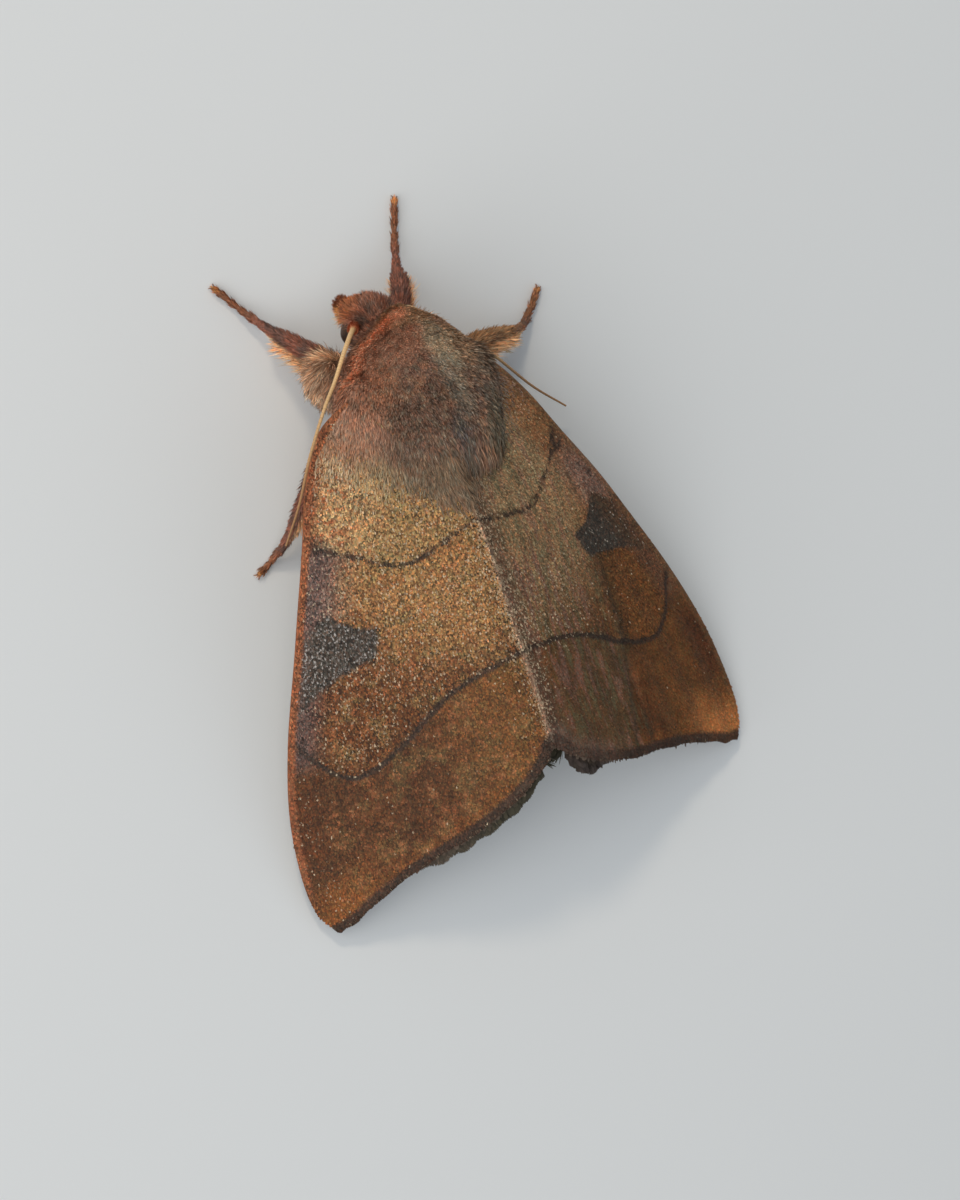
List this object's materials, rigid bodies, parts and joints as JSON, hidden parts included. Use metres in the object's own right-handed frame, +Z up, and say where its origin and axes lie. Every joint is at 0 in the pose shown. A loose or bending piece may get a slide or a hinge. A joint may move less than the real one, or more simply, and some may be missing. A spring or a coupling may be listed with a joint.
{
  "type": "moth",
  "caption": "Life-size still model of a stout, furry brown moth standing at rest, forewings folded like a roof over the body, fore legs and feelers reaching out",
  "frame": {"origin": "centre of the bounding box in plan, on the floor the feet stand on", "axes": "+Y toward the head, +X to the moth's right, +Z up away from the floor"},
  "size_m": [0.021, 0.0278, 0.01],
  "materials": {
    "fur": "dense matt hair scales, rust brown to grey brown, lying backward",
    "wing": "overlapping satin wing scales, orange tan with olive base, dark lines and a charcoal patch",
    "leg": "reddish brown scales and fine hair, ringed tarsi",
    "feeler": "cream scaled chitin turning brown to the tip",
    "eye": "dark, finely facetted, glossy"
  },
  "bodies": {
    "root": {"head": "fur", "eye_left": "eye", "eye_right": "eye", "palp_left": "fur", "palp_right": "fur", "antenna_left": "feeler", "antenna_right": "feeler", "thorax": "fur", "abdomen": "fur", "forewing_left": "wing", "forewing_right": "wing", "hindwing_left": "wing", "hindwing_right": "wing", "leg_fore_left": "leg", "leg_fore_right": "leg", "leg_mid_left": "leg", "leg_mid_right": "leg", "leg_hind_left": "leg", "leg_hind_right": "leg"}
  },
  "joints": []
}
